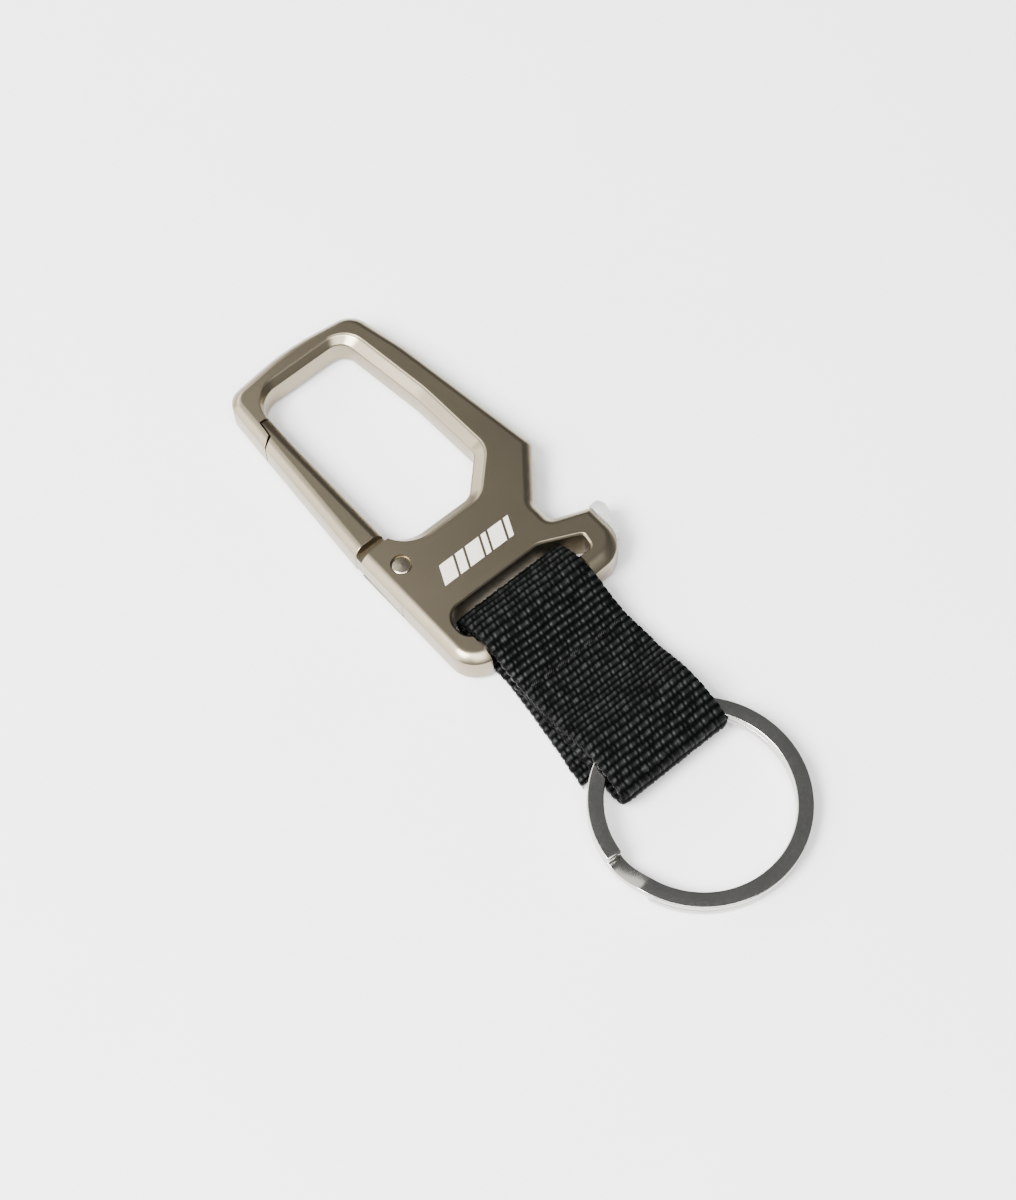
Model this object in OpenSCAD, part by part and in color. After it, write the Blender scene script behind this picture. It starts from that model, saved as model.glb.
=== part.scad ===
// Clip-on key organiser: a die-cast snap hook with a sprung gate, a folded webbing strap
// looped on the hook's bar, and a two-coil split ring held in the strap's eye.
// Lengths are in millimetres. The hook lies flat with its nose at -X and the ring at +X.
// Outlines are laid out from the gate's pivot; in_row_frame() moves them to the part's own origin.

/* [Frame] */
// Thickness of the frame and of the gate
frame_t = 6; // [5.8:0.1:6.4]
// Outside of the nose, measured from the gate's pivot
nose_reach = 42.5; // [42:0.1:43]
// Outside wall on the gate's side, measured from the pivot
side_y = -4; // [-4.2:0.05:-3.9]
// Outside wall of the bottle-opener tab, measured from the pivot
tab_y = 28.15; // [27.9:0.05:28.4]
// Width and depth of the bevel along the outer edges
edge_bevel = 1.05; // [0.8:0.05:1.2]
// Width of the bevel across the end of the bar
bar_bevel = 1.6; // [1.2:0.1:1.8]
// Depth of the chamfer round the inside of the hook
inner_bevel = 1.1; // [0.8:0.05:1.2]

/* [Gate] */
// Thickness of the gate's tail, which turns between the frame's two cheeks
tail_t = 3.2; // [3:0.1:3.4]
// Gap between the tail and each cheek
cheek_gap = 0.1; // [0.05:0.05:0.15]
// Radius of the pivot pin's shank
pin_r = 1.2; // [1:0.05:1.3]
// Radius of the pin's riveted heads
pin_head_r = 1.45; // [1.4:0.05:1.55]
// Radial clearance between the pin and the gate's bore
pin_gap = 0.05; // [0.02:0.01:0.1]
// Radius of the gate's two lugs round the pin
lug_r = 3; // [2.8:0.1:3.1]

/* [Gate spring] */
// Radius of the spring's wire
wire_r = 0.18; // [0.15:0.01:0.2]
// Radius of the coil's centre line
coil_r = 1.75; // [1.7:0.05:1.9]
// Number of full turns in the coil
coil_turns = 3; // [2:1:3]

/* [Strap] */
// Width of the webbing
strap_w = 20; // [19:0.5:20]
// Thickness of the webbing
strap_t = 1.3; // [1.2:0.05:1.35]
// Centre of the webbing across the bar, measured from the pivot
strap_y = 10.6; // [10.4:0.1:10.8]
// Radius of the round bar that the webbing turns on
bar_r = 1.6; // [1.5:0.05:1.65]
// Gap between the bar and the webbing
bar_gap = 0.1; // [0.05:0.05:0.1]
// Place along X where the strap flexes, clear of its stitching
flex_x = 35; // [34:0.5:36]
// Outside of the fold that holds the ring
fold_x = 51; // [50.8:0.1:51.4]
// Small turn of the eye about Z, in degrees
eye_skew = 2.5; // [0:0.5:3]

/* [Stitching] */
// Place of the seam along X
seam_x = 27.7; // [27:0.1:29]
// Number of stitches across the webbing
stitches = 7; // [5:1:8]
// Radius of the thread
thread_r = 0.22; // [0.15:0.01:0.25]

/* [Split ring] */
// Outer diameter of the ring
ring_od = 32; // [31.6:0.1:32]
// Radial width of the flat wire
wire_w = 2.1; // [1.9:0.1:2.2]
// Thickness of one coil of the flat wire
coil_t = 1.27; // [1.2:0.01:1.28]
// Tilt of the ring, which lies on the ground at its far side, in degrees
ring_tilt = 5; // [4.5:0.5:5.5]
// Centre of the ring along X and Y, measured from the pivot
ring_x = 57.5; // [57.3:0.1:57.7]
ring_y = 8.4; // [8.2:0.1:8.8]

/* [Corner cap] */
// How far the clear cap stands out beyond the tab
cap_reach = 2.1; // [1.6:0.1:2.2]
// Thickness of the cap
cap_t = 4; // [3.6:0.1:4.2]

/* [Hidden] */
$fn = 64;

arc_angle = 13;      // turn of one facet in a rounded corner of a bevelled outline
past = 1;            // how far a cutter runs past the face it cuts
mid_z = frame_t / 2;
ring_r = ring_od / 2;
coil_gap = 0.06;     // air between the ring's two coils
ring_half = coil_t + coil_gap / 2;
ring_z = ring_r * sin(ring_tilt) + ring_half * cos(ring_tilt);
ring_far_x = ring_x + ring_r * cos(ring_tilt) + ring_half * sin(ring_tilt);
origin_x = (ring_far_x - nose_reach) / 2;
origin_y = (tab_y + cap_reach + ring_y - ring_r) / 2;

// Bar and webbing loop
bar_x = 18.25;
bar_z = 4;
neck_y = strap_w / 2 + 0.4;             // half length of the round part of the bar
loop_in_r = bar_r + bar_gap;
loop_out_r = loop_in_r + strap_t;
bulge_x = 14.7;                         // the slack loop bulges away from the bar
bulge_in_r = 0.7;
stack_z0 = 0.05;                        // underside of the three stitched layers
stack_z1 = stack_z0 + 3 * strap_t;
seam_depth = 0.5;                       // how far the thread pulls the outer layers in
flex_z = (stack_z0 + stack_z1) / 2;
flex_r = (stack_z1 - stack_z0) / 2;

// Outer wall of the frame, anticlockwise: [x, y, corner radius, bevel of the edge that follows].
// A corner with no radius stays sharp.
frame_outline = [
    [-nose_reach + 1.2, side_y + 2.3, 3.2, edge_bevel],
    [-7, side_y - 0.05, 20, edge_bevel],
    [21.2, side_y, 4.6, bar_bevel],
    [19.75, tab_y, 5, edge_bevel],
    [10.75, tab_y, 0, edge_bevel],
    [8.3, 22.05, 0.9, edge_bevel],
    [4.7, 22.05, 1.5, edge_bevel],
    [-4, 28.95, 1.5, edge_bevel],
    [-30.5, 25.55, 25, edge_bevel],
    [-nose_reach + 1.3, 23.25, 3.6, edge_bevel],
    [-nose_reach - 0.39, 11.2, 40, edge_bevel],
];

// Inner wall of the hook, anticlockwise, with the chamfer's width as a negative bevel
hook_outline = [
    [-38.2, 1.3, 4.5, -0.4],
    [-2.85, 1.3, 5, -1.5],
    [-2.85, 15.5, 2.5, -1.8],
    [-8.5, 21.2, 2, -1.7],
    [-22, 20.85, 20, -1.7],
    [-38.3, 18.9, 2.6, -1.15],
];

// Slot that the webbing passes through, anticlockwise, with a fine chamfer
slot_outline = [
    [10.8, -0.7, 2.9, -0.25],
    [16.6, -0.7, 2.2, -0.25],
    [16.4, 23.45, 1, -0.25],
    [13.9, 23.9, 0.6, -0.25],
    [10.8, 17.6, 3, -0.25],
];

// Outer wall of the gate's blade, anticlockwise
gate_outline = [
    [-30.2, side_y + 1.53, 0, edge_bevel],
    [-6.1, side_y - 0.05, 0, 0.3],
    [-6.1, 1.35, 0, 1.3],
    [-33.9, 1.35, 0, 0.12],
    [-33.9, -0.4, 0, 0.12],
    [-31.15, -0.75, 0, 0.3],
];

// Vector helpers
function unit(v) = v / norm(v);
function cross2(a, b) = a.x * b.y - a.y * b.x;
function inward(p, q) = let(u = unit(q - p)) [-u.y, u.x];
function spin(v, a) = [v.x * cos(a) - v.y * sin(a), v.x * sin(a) + v.y * cos(a)];
function xy(corner) = [corner.x, corner.y];
function wrap(list, i) = list[(i + len(list)) % len(list)];

// Corner i of an outline after each edge has moved inward by its bevel times share
function moved_corner(c, i, share) =
    let(p = xy(c[i]),
        n1 = inward(xy(wrap(c, i - 1)), p),
        n2 = inward(p, xy(wrap(c, i + 1))),
        d1 = wrap(c, i - 1)[3] * share,
        d2 = c[i][3] * share,
        det = cross2(n1, n2))
    p + [d1 * n2.y - d2 * n1.y, n1.x * d2 - n2.x * d1] / det;

// Corner radius after that move: it shrinks on an outward corner and grows on an inward one
function moved_radius(c, i, share) =
    let(p = xy(c[i]),
        way = sign(cross2(p - xy(wrap(c, i - 1)), xy(wrap(c, i + 1)) - p)),
        d = (wrap(c, i - 1)[3] + c[i][3]) / 2 * share)
    c[i][2] == 0 ? 0 : max(c[i][2] - way * d, 0.2);

function corner_arc(p0, p1, p2, r) =
    let(u1 = unit(p0 - p1),
        u2 = unit(p2 - p1),
        half = acos(u1 * u2) / 2,
        centre = p1 + unit(u1 + u2) * r / sin(half),
        start = p1 + u1 * r / tan(half) - centre,
        turn = 180 - 2 * half,
        steps = max(ceil(turn / arc_angle), 1),
        way = sign(cross2(p1 - p0, p2 - p1)))
    r == 0 ? [p1] : [for (k = [0:steps]) centre + spin(start, way * turn * k / steps)];

function rounded(c, share = 0) =
    let(n = len(c),
        p = [for (i = [0:n - 1]) moved_corner(c, i, share)])
    [for (i = [0:n - 1])
        each corner_arc(wrap(p, i - 1), p[i], wrap(p, i + 1), moved_radius(c, i, share))];

// A solid stacked from one outline: levels holds [z, share of the bevel]
module stacked(c, levels) {
    rings = [for (lv = levels) [for (p = rounded(c, lv[1])) [p.x, p.y, lv[0]]]];
    m = len(rings[0]);
    top = len(levels) - 1;
    points = [for (ring = rings) each ring];
    floor_face = [for (j = [0:m - 1]) j];
    roof_face = [for (j = [m - 1:-1:0]) top * m + j];
    sides = [for (k = [0:top - 1], j = [0:m - 1])
        let(next = (j + 1) % m)
        [k * m + j, (k + 1) * m + j, (k + 1) * m + next, k * m + next]];
    polyhedron(points = points, faces = concat([floor_face, roof_face], sides), convexity = 6);
}

// A plate with both rims bevelled, and a cutter that leaves both rims chamfered
module bevelled_plate(c) {
    over = 0.2;
    inset = (edge_bevel + over) / edge_bevel;
    intersection() {
        stacked(c, [[-over, inset], [edge_bevel, 0], [frame_t - edge_bevel, 0], [frame_t + over, inset]]);
        translate([-50, -20, 0]) cube([100, 60, frame_t]);
    }
}

module chamfered_cutter(c, depth) {
    flare = (depth + past) / depth;
    stacked(c, [[-past, flare], [depth, 0], [frame_t - depth, 0], [frame_t + past, flare]]);
}

// Fills the space between two circles with the quadrilateral of their outer tangents
module between_circles(a, ra, b, rb) {
    along = unit(b - a);
    lean = acos((ra - rb) / norm(b - a));
    up = spin(along, lean);
    down = spin(along, -lean);
    polygon([a + up * ra, a + down * ra, b + down * rb, b + up * rb]);
}

module tapered_bar(a, ra, b, rb) {
    translate(a) circle(r = ra);
    translate(b) circle(r = rb);
    between_circles(a, ra, b, rb);
}

module in_row_frame() {
    translate([-origin_x, -origin_y, 0]) children();
}

// Runs a side profile, drawn in X and Z, across the width of the webbing
module across_strap(width) {
    translate([0, strap_y + width / 2, 0])
        rotate([90, 0, 0])
            linear_extrude(width) children();
}

module at_flex() {
    translate([flex_x, strap_y, 0])
        rotate([0, 0, -eye_skew])
            translate([-flex_x, -strap_y, 0]) children();
}

// Space in the frame for the gate's blade, cut right through
module gate_space() {
    translate([0, 0, -past])
        linear_extrude(frame_t + 2 * past)
            polygon([[-34.1, 4], [-34.1, -0.5], [-31.35, -0.85], [-30.4, -2.45], [-30.4, -8],
                     [-4.5, -8], [-5.05, 4]]);
}

// Space between the cheeks for the gate's tail, over its whole swing
module tail_space() {
    slot_t = tail_t + 2 * cheek_gap;
    translate([0, 0, mid_z - slot_t / 2])
        linear_extrude(slot_t) {
            circle(r = lug_r + 0.2);
            polygon([[-9, -8], [5.1, -8], [5.1, -2.3], [2.7, -1], [0, 0], [-9, 0]]);
            polygon([[-9, -1], [0, -1], [-0.7, 3.1], [-5.6, 4.8], [-9, 6.5]]);
        }
}

module pivot_hole() {
    seat = 0.55;
    translate([0, 0, -past]) cylinder(r = pin_r, h = frame_t + 2 * past);
    for (z = [-past, frame_t - seat])
        translate([0, 0, z]) cylinder(r = pin_head_r + 0.25, h = seat + past);
}

module bar() {
    translate([bar_x, strap_y - neck_y - 0.6, bar_z])
        rotate([-90, 0, 0]) cylinder(r = bar_r, h = 2 * neck_y + 1.2);
}

module cap_notch(r) {
    translate([12.8, tab_y, 0]) cylinder(r = r, h = frame_t + 2 * past);
}

module cap_stem(r) {
    translate([12.8, tab_y - 3, mid_z]) rotate([-90, 0, 0]) cylinder(r = r, h = 3);
}

// The hook's opening and the webbing's slot are cut first, then the gate's seat, then the rest
module open_plate() {
    difference() {
        difference() {
            bevelled_plate(frame_outline);
            chamfered_cutter(hook_outline, inner_bevel);
        }
        chamfered_cutter(slot_outline, 0.25);
    }
}

module gate_seat_cuts() {
    difference() {
        open_plate();
        gate_space();
        tail_space();
        pivot_hole();
    }
}

module frame() {
    color("#7a7163") in_row_frame() {
        difference() {
            gate_seat_cuts();
            translate([0, 0, -past]) cap_notch(1.8);
            cap_stem(0.9);
            translate([15.5, strap_y - neck_y, -past]) cube([8, 2 * neck_y, frame_t + 2 * past]);
        }
        bar();
    }
}

// The tail is forked: two lugs round the pin, with the spring's coil between them
module gate_tail() {
    pocket_t = 1.6;
    difference() {
        translate([0, 0, mid_z - tail_t / 2])
            linear_extrude(tail_t) {
                circle(r = lug_r);
                polygon([[-6.5, side_y + 0.04], [4.95, side_y - 0.03], [4.95, -2.6], [2.4, -1.8],
                         [0, 0], [-2, 2.2], [-6.5, 1]]);
            }
        translate([0, 0, mid_z - pocket_t / 2])
            linear_extrude(pocket_t)
                polygon([[-5.6, -1.1], [-2.6, -2.6], [6, -2.6], [6, 4], [-3, 4], [-5.6, -0.3]]);
        cylinder(r = pin_r + pin_gap, h = frame_t);
    }
}

module gate() {
    color("#7a7163") in_row_frame() {
        bevelled_plate(gate_outline);
        gate_tail();
    }
}

// A shank with two shallow domed heads, riveted into the cheeks
module pivot_pin() {
    head_t = 0.3;
    dome = 0.2;
    half = frame_t / 2 - 0.05;
    color("#a7a295") in_row_frame() translate([0, 0, mid_z])
        rotate_extrude()
            polygon([[0, -half], [0.7, -half + 0.05], [pin_head_r - 0.15, -half + dome * 0.6],
                     [pin_head_r, -half + dome], [pin_head_r, -half + dome + head_t], [pin_r, -half + 0.55],
                     [pin_r, half - 0.55], [pin_head_r, half - dome - head_t], [pin_head_r, half - dome],
                     [pin_head_r - 0.15, half - dome * 0.6], [0.7, half - 0.05], [0, half]]);
}

// Centre line of the torsion spring: a leg in the gate, the coil, and a leg on the frame
function spring_path() =
    let(steps = 24,
        rise = 2 * wire_r + 0.04,
        height = rise * coil_turns,
        start = 200,
        turn = 360 * coil_turns - 150,
        count = ceil(turn / 360 * steps),
        coil = [for (k = [0:count])
            let(a = start - turn * k / count, z = mid_z - height / 2 + height * k / count)
            [coil_r * cos(a), coil_r * sin(a), z]],
        first = coil[0],
        last = coil[count])
    concat([[-5.2, -0.7, first.z], [-3.2, -0.75, first.z]], coil,
           [[last.x + 0.9 * cos(80), last.y + 0.9 * sin(80), last.z]]);

// A round wire swept along a path, with its rings square to the path
module swept_wire(path, r, sides = 8) {
    n = len(path);
    rings = [for (i = [0:n - 1])
        let(dir = unit(path[min(i + 1, n - 1)] - path[max(i - 1, 0)]),
            across = unit(cross(dir, [0, 0, 1])),
            up = cross(across, dir))
        [for (k = [0:sides - 1]) path[i] + r * (across * cos(360 * k / sides) + up * sin(360 * k / sides))]];
    faces = [for (i = [0:n - 2], k = [0:sides - 1])
        let(next = (k + 1) % sides)
        [i * sides + k, i * sides + next, (i + 1) * sides + next, (i + 1) * sides + k]];
    start_cap = [for (k = [sides - 1:-1:0]) k];
    end_cap = [for (k = [0:sides - 1]) (n - 1) * sides + k];
    polyhedron(points = [for (ring = rings) each ring],
               faces = concat([start_cap, end_cap], faces), convexity = 8);
}

module gate_spring() {
    color("#c9ccd0") in_row_frame() swept_wire(spring_path(), wire_r);
}

// Clear moulded cap seated on the tab's corner, with a stem pressed into the frame
module corner_cap() {
    corner_centre = [14.79, tab_y - 5];
    color([0.85, 0.88, 0.86, 0.6]) in_row_frame() {
        difference() {
            translate([0, 0, mid_z - cap_t / 2])
                linear_extrude(cap_t)
                    polygon([[10.3, tab_y], [10.2, tab_y + 1.2], [10.8, tab_y + 1.85],
                             [11.7, tab_y + cap_reach], [13, tab_y + 1.75], [15.2, tab_y + 0.85],
                             [17, tab_y + 0.1], [18.1, tab_y - 1.1], [15, tab_y - 0.8], [14.6, tab_y]]);
            translate(concat(corner_centre, 0)) cylinder(r = 5.02, h = frame_t);
            translate([8, tab_y - 4, 0]) cube([6.79, 4.02, frame_t]);
        }
        intersection() {
            translate([0, 0, mid_z - cap_t / 2]) cap_notch(1.78);
            translate([10, tab_y - 3, mid_z - cap_t / 2]) cube([6, 3.2, cap_t]);
        }
        cap_stem(0.9);
    }
}

// The webbing from its loop on the bar, through the stitched layers, to where it flexes
module strap() {
    bar_at = [bar_x, bar_z];
    bulge_at = [bulge_x, bar_z - 0.1];
    color("#161a18") in_row_frame()
        difference() {
            union() {
                across_strap(strap_w) tapered_bar(bar_at, loop_out_r, bulge_at, bulge_in_r + strap_t);
                across_strap(strap_w)
                    polygon([[bar_x + 1, bar_z + loop_out_r - 0.35], [23.4, 4.9], [25.6, stack_z1],
                             [flex_x, stack_z1], [flex_x, stack_z0], [23.6, stack_z0],
                             [bar_x + 0.4, bar_z - loop_out_r + 0.25]]);
            }
            across_strap(strap_w + 2) tapered_bar(bar_at, loop_in_r, bulge_at, bulge_in_r);
            across_strap(strap_w + 2)
                polygon([[bar_x + 0.7, bar_z + 1.4], [25.2, stack_z0 + 1.7 * strap_t], [bar_x + 0.7, bar_z - 1.4]]);
            for (z = [stack_z0 - past, stack_z1 - seam_depth])
                translate([seam_x - 0.5, strap_y - strap_w / 2 - 1, z])
                    cube([1, strap_w + 2, seam_depth + past]);
            at_flex()
                across_strap(strap_w + 6) {
                    translate([flex_x, flex_z]) circle(r = flex_r + 0.1);
                    polygon([[flex_x - 1.2, flex_z], [flex_x - 2.6, flex_z + 2.7], [flex_x + 3, flex_z + 2.7],
                             [flex_x + 3, flex_z - 2.7], [flex_x - 2.6, flex_z - 2.7]]);
                }
        }
}

// Height of the ring's middle plane over the ground at a place along X
function ring_plane(x) = ring_z + (ring_x - x) * tan(ring_tilt);

// The webbing's folded end, which closes round the ring
module strap_eye() {
    slack = ring_half / cos(ring_tilt) + 0.1;
    mouth_x = ring_x - ring_r - 0.3;
    flat_x = 49.9;
    tip_x = fold_x - 0.8;
    color("#161a18") in_row_frame()
        difference() {
            at_flex() {
                across_strap(strap_w) translate([flex_x, flex_z]) circle(r = flex_r);
                across_strap(strap_w)
                    polygon([[flex_x, stack_z1], [mouth_x - 0.6, ring_plane(mouth_x) + slack + strap_t],
                             [47, ring_plane(47) + slack + strap_t - 0.1], [50, ring_plane(50) + 1.9],
                             [fold_x, ring_plane(fold_x) + 0.7], [fold_x, ring_plane(fold_x) - 0.8],
                             [50, ring_plane(50) - 2], [45.5, 0.25], [43, stack_z0], [flex_x, stack_z0]]);
            }
            across_strap(strap_w + 6)
                polygon([[mouth_x, ring_plane(mouth_x) - slack], [flat_x, ring_plane(flat_x) - slack],
                         [tip_x, ring_plane(tip_x) - 0.3], [tip_x, ring_plane(tip_x) + 0.3],
                         [flat_x, ring_plane(flat_x) + slack], [mouth_x, ring_plane(mouth_x) + slack]]);
        }
}

// One row of stitches across the webbing, at a height
module stitch_row(z) {
    margin = 1;
    pitch = (strap_w - 2 * margin) / stitches;
    for (i = [0:stitches - 1])
        translate([seam_x, strap_y - strap_w / 2 + margin + pitch * (i + 0.12), z])
            rotate([-90, 0, 0]) cylinder(r = thread_r, h = pitch * 0.76, $fn = 24);
}

module needle_thread() {
    color("#0c0f0e") in_row_frame() stitch_row(stack_z1 - seam_depth + thread_r + 0.01);
}

module bobbin_thread() {
    color("#0c0f0e") in_row_frame() stitch_row(stack_z0 + seam_depth - thread_r - 0.01);
}

// Section of the flat wire, with its edges broken, drawn in by a margin
function wire_section(margin = 0) =
    let(x0 = ring_r - wire_w + margin, x1 = ring_r - margin, z0 = margin, z1 = coil_t - margin, c = 0.3)
    [[x0, z0 + c], [x0 + c, z0], [x1 - c, z0], [x1, z0 + c],
     [x1, z1 - c], [x1 - c, z1], [x0 + c, z1], [x0, z1 - c]];

// The short ramp where the wire steps up from the lower coil to the upper one
module ring_ramp(a0, a1) {
    steps = 12;
    section = wire_section(0.03);
    m = len(section);
    rise = coil_t + coil_gap;
    points = [for (i = [0:steps], p = section)
        let(t = i / steps, a = a0 + (a1 - a0) * t, z = rise * (1 - cos(180 * t)) / 2)
        [p.x * cos(a), p.x * sin(a), p.y + z]];
    sides = [for (i = [0:steps - 1], k = [0:m - 1])
        let(next = (k + 1) % m)
        [i * m + k, i * m + next, (i + 1) * m + next, (i + 1) * m + k]];
    start_cap = [for (k = [m - 1:-1:0]) k];
    end_cap = [for (k = [0:m - 1]) steps * m + k];
    polyhedron(points = points, faces = concat([start_cap, end_cap], sides), convexity = 4);
}

// Two turns of flat wire: the lower coil, the ramp, then the upper coil
module split_ring() {
    ramp_start = 266;
    ramp_end = 290;
    end_gap = 1.2;
    color("#8d8b86") in_row_frame()
        translate([ring_x, ring_y, ring_z]) rotate([0, ring_tilt, 0]) translate([0, 0, -ring_half]) {
            rotate([0, 0, ramp_end + end_gap])
                rotate_extrude(angle = 360 - (ramp_end - ramp_start) - end_gap) polygon(wire_section());
            ring_ramp(ramp_start - 1, ramp_end + 1);
            translate([0, 0, coil_t + coil_gap])
                rotate([0, 0, ramp_end])
                    rotate_extrude(angle = 360 - (ramp_end - ramp_start) - end_gap) polygon(wire_section());
        }
}

frame();
gate();
pivot_pin();
gate_spring();
corner_cap();
strap();
strap_eye();
needle_thread();
bobbin_thread();
split_ring();
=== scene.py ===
import math
import random

import bmesh
import bpy
import numpy as np
from mathutils import Matrix, Vector
from mathutils.geometry import tessellate_polygon


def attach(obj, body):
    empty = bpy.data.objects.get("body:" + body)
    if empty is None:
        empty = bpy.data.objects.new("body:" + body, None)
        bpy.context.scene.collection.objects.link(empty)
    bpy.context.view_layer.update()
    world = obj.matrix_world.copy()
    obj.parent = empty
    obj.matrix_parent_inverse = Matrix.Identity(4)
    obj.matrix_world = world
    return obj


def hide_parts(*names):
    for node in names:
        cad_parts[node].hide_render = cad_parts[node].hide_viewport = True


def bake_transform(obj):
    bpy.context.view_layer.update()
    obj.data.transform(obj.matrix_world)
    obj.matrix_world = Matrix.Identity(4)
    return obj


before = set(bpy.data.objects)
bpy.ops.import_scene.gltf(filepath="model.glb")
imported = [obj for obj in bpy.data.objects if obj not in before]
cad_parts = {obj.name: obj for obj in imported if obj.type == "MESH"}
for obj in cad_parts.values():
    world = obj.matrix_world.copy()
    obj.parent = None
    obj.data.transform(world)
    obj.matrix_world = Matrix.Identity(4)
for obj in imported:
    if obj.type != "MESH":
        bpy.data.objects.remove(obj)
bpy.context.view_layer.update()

# The shapes below are laid out in millimetres from the gate's pivot, as in the CAD.
# row() gives the same point in the part's own frame, in metres.
ORIGIN = np.array([15.526, 11.325, 0.0])
WELD = 1e-7     # metres: points closer than this are one point


def row(points):
    return (np.asarray(points, float) - ORIGIN) / 1000.0


def make_mesh(name, verts, faces, smooth=True):
    mesh = bpy.data.meshes.new(name)
    mesh.from_pydata([tuple(v) for v in row(verts)], [], [tuple(f) for f in faces])
    mesh.validate()
    mesh.update()
    if smooth:
        mesh.polygons.foreach_set("use_smooth", [True] * len(mesh.polygons))
    obj = bpy.data.objects.new(name, mesh)
    bpy.context.scene.collection.objects.link(obj)
    return obj


def grid_faces(rows, cols, offset=0, close_cols=False, flip=False):
    """Quads of a grid of points. close_cols joins the last column to the first."""
    r = np.arange(rows - 1)
    c = np.arange(cols if close_cols else cols - 1)
    rr, cc = np.meshgrid(r, c, indexing="ij")
    a = offset + rr * cols + cc
    b = offset + (rr + 1) * cols + cc
    d = offset + rr * cols + (cc + 1) % cols
    e = offset + (rr + 1) * cols + (cc + 1) % cols
    quads = np.stack([a, b, e, d], axis=-1).reshape(-1, 4)
    return quads[:, ::-1] if flip else quads


def end_caps(rows, cols):
    """The two flat ends of a tube made of rings."""
    return [tuple(range(cols)), tuple(reversed(range((rows - 1) * cols, rows * cols)))]


def edit_mesh(obj, weld=False, fill=False, outward=True):
    """Joins doubled points, fills open slits and turns the faces outward, as asked."""
    bm = bmesh.new()
    bm.from_mesh(obj.data)
    if weld:
        bmesh.ops.remove_doubles(bm, verts=bm.verts, dist=WELD)
    if fill:
        bmesh.ops.holes_fill(bm, edges=[e for e in bm.edges if e.is_boundary], sides=0)
    if outward:
        bmesh.ops.recalc_face_normals(bm, faces=bm.faces)
    bm.to_mesh(obj.data)
    bm.free()


def smooth_path(points, step):
    """A curve through the points, sampled evenly. Returns the samples and the length."""
    p = np.asarray(points, float)
    p = np.vstack([2 * p[0] - p[1], p, 2 * p[-1] - p[-2]])
    out = []
    for i in range(1, len(p) - 2):
        t = np.linspace(0, 1, 60, endpoint=False)[:, None]
        a, b, c, d = p[i - 1], p[i], p[i + 1], p[i + 2]
        out.append(0.5 * (2 * b + (c - a) * t + (2 * a - 5 * b + 4 * c - d) * t**2
                          + (3 * b - a - 3 * c + d) * t**3))
    out = np.vstack(out + [p[-2:-1]])
    dist = np.concatenate([[0], np.cumsum(np.linalg.norm(np.diff(out, axis=0), axis=1))])
    n = max(int(round(dist[-1] / step)), 2)
    at = np.linspace(0, dist[-1], n + 1)
    return np.stack([np.interp(at, dist, out[:, k]) for k in range(p.shape[1])], axis=1), dist[-1]


# ---------------------------------------------------------------- materials

def new_material(name):
    mat = bpy.data.materials.new(name)
    mat.use_nodes = True
    tree = mat.node_tree
    tree.nodes.clear()
    out = tree.nodes.new("ShaderNodeOutputMaterial")
    shader = tree.nodes.new("ShaderNodeBsdfPrincipled")
    tree.links.new(shader.outputs["BSDF"], out.inputs["Surface"])
    return mat, tree, shader


def node(tree, kind, **values):
    n = tree.nodes.new(kind)
    for key, value in values.items():
        setattr(n, key, value)
    return n


def noise(tree, coords, scale, detail=3.0, roughness=0.5, stretch=None):
    if stretch is not None:
        mapping = node(tree, "ShaderNodeMapping")
        mapping.inputs["Scale"].default_value = stretch
        tree.links.new(coords, mapping.inputs["Vector"])
        coords = mapping.outputs["Vector"]
    n = node(tree, "ShaderNodeTexNoise")
    n.inputs["Scale"].default_value = scale
    n.inputs["Detail"].default_value = detail
    n.inputs["Roughness"].default_value = roughness
    tree.links.new(coords, n.inputs["Vector"])
    return n.outputs["Fac"]


def ramp(tree, fac, stops):
    r = node(tree, "ShaderNodeValToRGB")
    while len(r.color_ramp.elements) < len(stops):
        r.color_ramp.elements.new(0.5)
    for element, (pos, colour) in zip(r.color_ramp.elements, stops):
        element.position = pos
        element.color = (*colour, 1.0) if len(colour) == 3 else colour
    tree.links.new(fac, r.inputs["Fac"])
    return r.outputs["Color"]


def grey_ramp(tree, fac, low, high, start=0.3, stop=0.7):
    return ramp(tree, fac, [(start, (low,) * 3), (stop, (high,) * 3)])


def object_coords(tree):
    return node(tree, "ShaderNodeTexCoord").outputs["Object"]


def bump(tree, shader, height, strength, distance):
    b = node(tree, "ShaderNodeBump")
    b.inputs["Strength"].default_value = strength
    b.inputs["Distance"].default_value = distance
    tree.links.new(height, b.inputs["Height"])
    tree.links.new(b.outputs["Normal"], shader.inputs["Normal"])


def coated_metal(name, tone, rough):
    """Satin plating on cast metal: a warm grey with a fine grain and faint cloudiness."""
    mat, tree, shader = new_material(name)
    coords = object_coords(tree)
    cloud = noise(tree, coords, 90, 2)
    grain = noise(tree, coords, 5200, 2)
    lo, hi = [c * 0.95 for c in tone], [c * 1.05 for c in tone]
    spread = 0.008      # more than this shows as specks on the flat face
    tree.links.new(ramp(tree, cloud, [(0.3, lo), (0.7, hi)]), shader.inputs["Base Color"])
    tree.links.new(grey_ramp(tree, grain, rough - spread, rough + spread), shader.inputs["Roughness"])
    shader.inputs["Metallic"].default_value = 1.0
    return mat


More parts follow.
